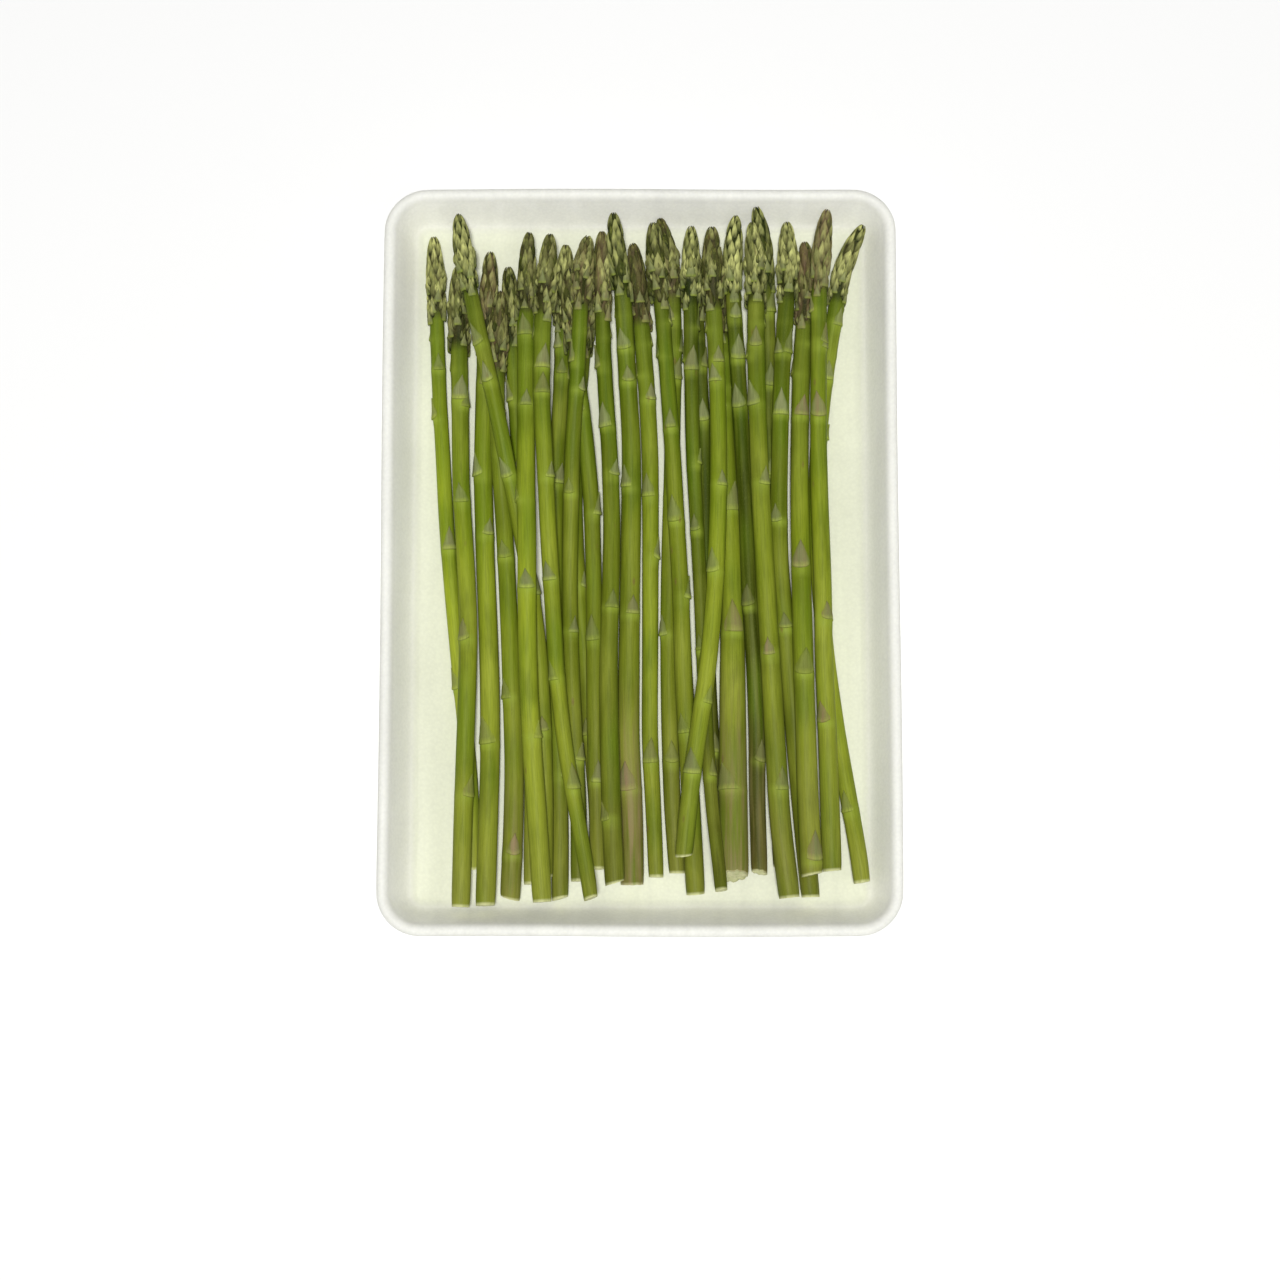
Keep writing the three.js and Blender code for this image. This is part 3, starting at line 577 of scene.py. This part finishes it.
# Side buds, bracts and the scales of the bud at the tip, in mm.
BUD_STEP = 1.15                            # from one side bud to the next
BUD_LONG, BUD_SHORTER = 5.6, 1.2           # at the foot of the head, and how much less at its tip
BUD_HALF = 1.18                            # half its width
BUD_PLUMP, BUD_OPEN = 0.65, 0.6            # how thick, and how much more where the head is open
BRACT_THICK = 0.36
TIP_SCALES = 32
TIP_BUD, TIP_BUD_OPEN = 0.76, 0.36         # share of the head, and how much less where it is open
TIP_LONG, TIP_SHORTER = 8.2, 3.6
TIP_HALF, TIP_NARROWER = 1.75, 0.8
TIP_THICK, TIP_THINNER = 0.65, 0.3
WIDEST_BLADE = 75                # no scale reaches more degrees round than this to each side
SCALE_TONES = 0.36               # how much duller or brighter than its head a scale may be
BRACT_BUDDING = 0.35             # a bract is coloured this much like a scale, the rest like a leaf

# What the skin is told.
HEAD_FADE = 3 * MM               # the stem's colours turn into the head's over this
BUTT_FULL, BUTT_GONE = 18 * MM, 63 * MM    # how far up the blush of the butt is full, and gone
APART = 0.31                     # metres from one spear's streaks to the next one's, so all differ
SMOOTH_BELOW = 55                # degrees between faces


def slices(name):
    """Cuts a spear's solid across every 2 mm. Each row is y, middle x, middle z and area."""
    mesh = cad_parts[name].data
    mesh.calc_loop_triangles()
    corners = np.empty(len(mesh.loop_triangles) * 3, int)
    mesh.loop_triangles.foreach_get("vertices", corners)
    triangles = places(mesh)[corners.reshape(-1, 3)]
    low, high = triangles[:, :, 1].min(), triangles[:, :, 1].max()
    rows = []
    for y in np.arange(low + MM, high - MM, SLICE):
        under = triangles[:, :, 1] < y
        cut = triangles[under.any(1) & ~under.all(1)]
        under = cut[:, :, 1] < y
        ends = []
        for leaves_under in (True, False):
            crossing = (under == leaves_under) & (np.roll(under, -1, 1) != leaves_under)
            side = crossing.argmax(1)
            picked = np.arange(len(cut))
            start, end = cut[picked, side], cut[picked, (side + 1) % 3]
            share = (y - start[:, 1]) / (end[:, 1] - start[:, 1])
            ends.append((start + (end - start) * share[:, None])[:, [0, 2]])
        middle = ends[0].mean(0)
        first, second = ends[0] - middle, ends[1] - middle
        turn = first[:, 0] * second[:, 1] - second[:, 0] * first[:, 1]
        area = turn.sum() / 2
        across, upward = middle + ((first + second) * turn[:, None]).sum(0) / (6 * area)
        rows.append((y, across, upward, abs(area)))
    return np.array(rows), low, high


def evened(values):
    """A row of values drawn towards their neighbours, with the ends kept on course."""
    for _ in range(LINE_PASSES):
        ends = np.concatenate([[2 * values[0] - values[1]], values, [2 * values[-1] - values[-2]]])
        values = (ends[:-2] + 2 * ends[1:-1] + ends[2:]) / 4
    return values


def read_spear(name):
    """The line along a spear's middle from the cut to the tip, and its radius at both ends."""
    rows, low, high = slices(name)
    y, across, upward, area = rows.T
    radius = np.sqrt(area / OCTAGON)
    stem = y < high - HEAD - NEAR_HEAD
    fit = np.polyfit(y[stem], radius[stem], 1)
    for _ in range(FIT_PASSES):
        bare = stem & (radius < np.polyval(fit, y) + LEAF_ADDS)
        fit = np.polyfit(y[bare], radius[bare], 1)
    ys = np.concatenate([[low], y, [high]])
    across, upward = evened(across), evened(upward)
    line = [ys]
    for values in (across, upward):
        first = values[0] + (values[0] - values[1]) * (y[0] - low) / SLICE
        last = values[-1] + (values[-1] - values[-2]) * (high - y[-1]) / SLICE
        line.append(np.concatenate([[first], values, [last]]))
    line = np.array([line[1], line[0], line[2]]).T
    return line, np.polyval(fit, low), np.polyval(fit, high - HEAD)


def draw(number, kind):
    """A spear's number from 0 to 1 that looks random and is the same each time."""
    value = math.sin(number * 127.1 + kind * 311.7) * 43758.5453
    return value - math.floor(value)


def bare_radius(along, size):
    """Radius of the bare stem or of the head's core at a distance from the cut."""
    length, butt, top, head = size
    stem = butt + (top - butt) * np.clip(along / (length - HEAD), 0, 1)
    share = np.clip((length - along) / HEAD, 0, 1)
    to_foot = np.clip((share - WIDEST) / (1 - WIDEST), 0, 1)
    close = np.sin(np.clip(share / WIDEST, 0, 1) * math.pi / 2) ** BLUNTNESS
    fade = np.clip((1 - share) / CORE_FADES, 0, 1)
    full = (head + (top - head) * to_foot) * close * (1 - (1 - CORE) * fade)
    return np.where(share < 1, full, stem)


def swelling(along, foot):
    """How far the stem stands out near the foot of a leaf."""
    return JOINT * np.exp(-((along - foot) / JOINT_LONG) ** 2)


def add_stem(number, size, leaves, dice):
    """The stem and the core of the head, shaped from the pattern."""
    piece = stem_pattern.copy()
    piece.data = stem_pattern.data.copy()
    rows = places(piece.data)
    angle = np.arctan2(rows[:, 0], rows[:, 2])
    along = rows[:, 1] * size[0]
    radius = bare_radius(along, size)
    # Shallow ribs that drift round the stem, and a slight swelling at the foot of each leaf.
    turned = angle + TWIST * np.sin(along / TWIST_LONG + dice.uniform(0, 6))
    ribs = RIB_DEEP * np.cos(RIBS * turned + dice.uniform(0, 6))
    ribs += FINE_RIB_DEEP * np.cos(FINE_RIBS * turned)
    wander = WANDER * np.sin(along / WANDER_LONG + dice.uniform(0, 6))
    radius *= 1 + ribs + wander
    joint = np.zeros(len(rows))
    for foot, lean, _, _ in leaves:
        near = swelling(along, foot)
        facing = 0.5 + 0.5 * np.cos(angle - lean)
        radius += near * (0.25 + 0.75 * facing)
        joint = np.maximum(joint, near / JOINT * (0.15 + 0.85 * facing ** 2))
    radius *= 1 - DRIED * np.exp(-along / DRIED_LONG)
    # The cut slopes a little, and the knife leaves the rim slightly ragged.
    drawn = (dice.uniform(0, SLOPE), 180 + dice.uniform(-TOWARDS, TOWARDS), RAGGED)
    slope, towards, torn = TORN.get(number, drawn)
    at_cut = np.clip(1 - along / CUT_REACH, 0, 1)
    lean_in = slope * size[1] * (1 + np.cos(angle - math.radians(towards)) * round_share)
    ragged = torn * MM * np.sin(9 * angle + 3 * dice.random()) * np.sin(4 * angle) * round_share
    along = along + at_cut * (lean_in + np.abs(ragged))
    rows[:, 0] = np.sin(angle) * round_share * radius
    rows[:, 2] = np.cos(angle) * round_share * radius
    rows[:, 1] = along
    put_places(piece.data, rows)
    mark(piece.data, "margin", round_share)
    mark(piece.data, "joint", joint)
    return piece


def add_blade(pattern, foot, lean, long, half_angle, thick, lift, seat, askew=0, bowed=0):
    """A leaf or bud scale, wrapped round the spear. seat(along) is the radius that it lies on.

    Lift raises its point, askew turns the point aside, and bowed carries its sides up the spear.
    """
    piece = pattern.copy()
    piece.data = pattern.data.copy()
    rows = places(piece.data)
    along = foot + (rows[:, 1] + bowed * rows[:, 0] ** 2) * long
    wavy = rows[:, 0] * (1 + WAVER * np.sin(11 * rows[:, 1] + 9e3 * foot + 7 * lean))
    angle = lean + (wavy + askew * rows[:, 1] ** 1.5) * half_angle
    radius = seat(along) + rows[:, 2] * thick + lift * np.clip(rows[:, 1], 0, 1) ** 1.3
    rows[:, 0] = np.sin(angle) * radius
    rows[:, 1] = along
    rows[:, 2] = np.cos(angle) * radius
    put_places(piece.data, rows)
    return piece


def add_leaves(size, leaves, dice):
    """The pressed leaves of the stem."""
    made = []
    for foot, lean, blush, long in leaves:
        grown = dice.uniform(0.55, 0.95)
        piece = add_blade(leaf_pattern, foot, lean, long * grown,
                          math.radians(LEAF_ROUND * grown * dice.uniform(0.85, 1.05)), LEAF_THICK,
                          dice.uniform(0.02, 0.2) * MM,
                          lambda along: bare_radius(along, size) + swelling(along, foot),
                          dice.uniform(-0.3, 0.3), dice.uniform(0.0, 0.14))
        mark(piece.data, "blush", blush)
        mark(piece.data, "leafy", max(blush, dice.uniform(0.4, 1)))
        made.append(piece)
    return made


def add_head(size, openness, blush, dice):
    """Side buds in a spiral, each in its bract, then the long tight scales of the tip's own bud."""
    made = []
    length = size[0]
    turn = dice.uniform(0, 360)
    tip_bud = (TIP_BUD - TIP_BUD_OPEN * openness) * HEAD

    def seat(along):
        return bare_radius(np.minimum(along, length - 0.05 * MM), size)

    def grow(pattern, foot, lean, long, half, thick, lift, stand=0):
        """One bud, scale or bract, standing off the core by so much."""
        at_widest = seat(foot + long * 0.3) + 0.4 * MM + stand
        half_angle = min(half / at_widest, math.radians(WIDEST_BLADE))
        piece = add_blade(pattern, foot, math.radians(lean), long, half_angle, thick, lift,
                          lambda along: seat(along) + stand)
        mark(piece.data, "blush", min(1, blush * dice.uniform(0.1, 1.1)))
        mark(piece.data, "tone", dice.uniform(-SCALE_TONES, SCALE_TONES))
        mark(piece.data, "budding", BRACT_BUDDING if pattern is bract_pattern else 1)
        made.append(piece)

    foot = length - 1.04 * HEAD
    while foot < length - tip_bud:
        grown = dice.uniform(0.8, 1.2)
        long = (BUD_LONG - BUD_SHORTER * (foot - length + HEAD) / HEAD) * grown * MM
        half = BUD_HALF * grown * MM
        plump = (BUD_PLUMP + BUD_OPEN * openness) * grown * MM
        grow(scale_pattern, foot, turn, long, half, plump, 0.4 * plump)
        for side in (-1, 1):
            small = dice.uniform(0.45, 0.7)
            grow(scale_pattern, foot + dice.uniform(0.1, 0.45) * long,
                 turn + side * dice.uniform(18, 30), long * small, half * small,
                 plump * dice.uniform(0.7, 1.1), 0.45 * plump)
        grow(bract_pattern, foot - 0.6 * MM, turn + dice.uniform(-8, 8),
             long * dice.uniform(0.65, 0.85), half * 1.25, BRACT_THICK * MM, 0.5 * plump,
             0.5 * plump)
        turn += GOLDEN + dice.uniform(-14, 14)
        foot += BUD_STEP * MM * dice.uniform(0.8, 1.2)
    for i in range(TIP_SCALES):
        share = i / (TIP_SCALES - 1)
        left = (tip_bud + 2.5 * MM) * (1 - share) ** 1.1 + dice.uniform(2.2, 3.4) * MM
        long = (TIP_LONG - TIP_SHORTER * share) * dice.uniform(0.85, 1.15) * MM
        long = min(long, left - 0.2 * MM * share)
        half = (TIP_HALF - TIP_NARROWER * share) * MM * dice.uniform(0.9, 1.15)
        grow(scale_pattern, length - left, turn, long, half, (TIP_THICK - TIP_THINNER * share) * MM,
             (0.25 + 0.35 * openness) * (1 - share) * MM)
        turn += GOLDEN + dice.uniform(-10, 10)
    return made


def bend(piece, line):
    """Lays a straight spear along the line through its middle in the frame."""
    bpy.ops.curve.primitive_nurbs_path_add()
    guide = bpy.context.object
    guide.location = (0, 0, 0)
    spline = guide.data.splines[0]
    spline.points.add(len(line) - len(spline.points))
    spline.points.foreach_set("co", np.column_stack([line, np.ones(len(line))]).ravel())
    spline.points.foreach_set("tilt", [math.pi / 2] * len(line))
    guide.data.twist_mode = "Z_UP"
    guide.data.resolution_u = 3
    bpy.ops.object.select_all(action="DESELECT")
    piece.select_set(True)
    bpy.context.view_layer.objects.active = piece
    laid = piece.modifiers.new("laid", "CURVE")
    laid.object, laid.deform_axis = guide, "POS_Y"
    bpy.ops.object.modifier_apply(modifier="laid")
    bpy.data.objects.remove(guide)


for number, (tone, head_tone, openness, head_blush, butt_blush, table) in SPEARS.items():
    name = f"spear_{number:02d}"
    dice = random.Random(number)
    line, butt, top = read_spear(name)
    length = np.linalg.norm(np.diff(line, axis=0), axis=1).sum()
    low, high = line[0, 1], line[-1, 1]
    leaves = [((y * MM - low) * length / (high - low), math.radians(lean), blush, long * MM)
              for y, lean, blush, long in table]
    for i, down in enumerate(COLLAR):
        turn = math.radians(360 * draw(number, COLLAR_DRAW) + i * GOLDEN)
        leaves.append((length - HEAD - down * MM, turn, head_blush * 0.6, COLLAR_LONG))
    head = HEAD_THICK / 2 * (1 + HEAD_SPREAD * (2 * draw(number, HEAD_DRAW) - 1))
    size = (length, butt, top, head)
    parts = [add_stem(number, size, leaves, dice)]
    parts += add_leaves(size, leaves, dice)
    parts += add_head(size, openness, head_blush, dice)
    bpy.ops.object.select_all(action="DESELECT")
    for part in parts:
        bpy.context.scene.collection.objects.link(part)
        part.select_set(True)
    spear = parts[0]
    bpy.context.view_layer.objects.active = spear
    bpy.ops.object.join()
    spear.name = f"{name}_grown"
    rows = places(spear.data)
    along = rows[:, 1]
    bare = written(spear.data, "leafy") == 0
    at_head = np.clip((along - (length - HEAD)) / HEAD_FADE, 0, 1)
    from_butt = butt_blush * np.clip((BUTT_GONE - along) / (BUTT_GONE - BUTT_FULL), 0, 1)
    stem_blush = np.maximum(from_butt, head_blush * at_head)
    mark(spear.data, "blush", np.where(bare, stem_blush, written(spear.data, "blush")))
    mark(spear.data, "budding", np.where(bare, at_head, written(spear.data, "budding")))
    mark(spear.data, "ripe", along / (length - HEAD))
    mark(spear.data, "tone", tone + (head_tone - tone) * at_head + written(spear.data, "tone"))
    mark(spear.data, "straight", rows + np.array([0, APART * number, 0]))
    bend(spear, line)
    bpy.ops.object.shade_smooth_by_angle(angle=math.radians(SMOOTH_BELOW))
    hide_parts(name)
    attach(spear, "root")

for pattern in (stem_pattern, leaf_pattern, scale_pattern, bract_pattern):
    bpy.data.objects.remove(pattern)


# ---- table and studio ----
# A plain pale table under a small bright lamp overhead, with a large and weaker one to the side.
# The camera looks down on the tray almost straight, from its butt end.

TABLE_WIDE = 6
TABLE_BELOW = 0.5 * MM           # just under the tray, so that the two never share a face
STUDIO_GLOW = 0.13
LOOKS_AT = Vector((0, -22 * MM, 0))
STEEP = math.radians(82.5)
AWAY = 0.8
LENS = 78.7
# Name: (place, width, watts). Each lamp faces the tray.
LAMPS = {"overhead": ((-0.02, -0.32, 1.93), 0.2, 36),
         "side": ((1.2, -1.2, 2.1), 2.0, 6.4)}

bpy.ops.mesh.primitive_plane_add(size=TABLE_WIDE, location=(0, 0, -TABLE_BELOW))
table_top = bpy.context.object
table_top.name = "table_top"
paint, tree, surface = new_material("pale_table")
surface.inputs["Base Color"].default_value = linear(245, 245, 244)
surface.inputs["Roughness"].default_value = 0.9
table_top.data.materials.append(paint)

world = bpy.context.scene.world or bpy.data.worlds.new("studio")
bpy.context.scene.world = world
world.use_nodes = True
glow = world.node_tree.nodes["Background"]
glow.inputs["Color"].default_value = grey(1)
glow.inputs["Strength"].default_value = STUDIO_GLOW

for name, (place, width, watts) in LAMPS.items():
    bpy.ops.object.light_add(type="AREA", location=place)
    lamp = bpy.context.object
    lamp.name = name
    lamp.data.size = width
    lamp.data.energy = watts
    lamp.rotation_euler = (-Vector(place)).to_track_quat("-Z", "Y").to_euler()

from_tray = Vector((0, -math.cos(STEEP), math.sin(STEEP)))
bpy.ops.object.camera_add(location=LOOKS_AT + AWAY * from_tray)
camera = bpy.context.object
camera.rotation_euler = (LOOKS_AT - camera.location).to_track_quat("-Z", "Y").to_euler()
camera.data.lens = LENS
camera.data.clip_start = 10 * MM
bpy.context.scene.camera = camera
bpy.context.scene.view_settings.view_transform = "Standard"
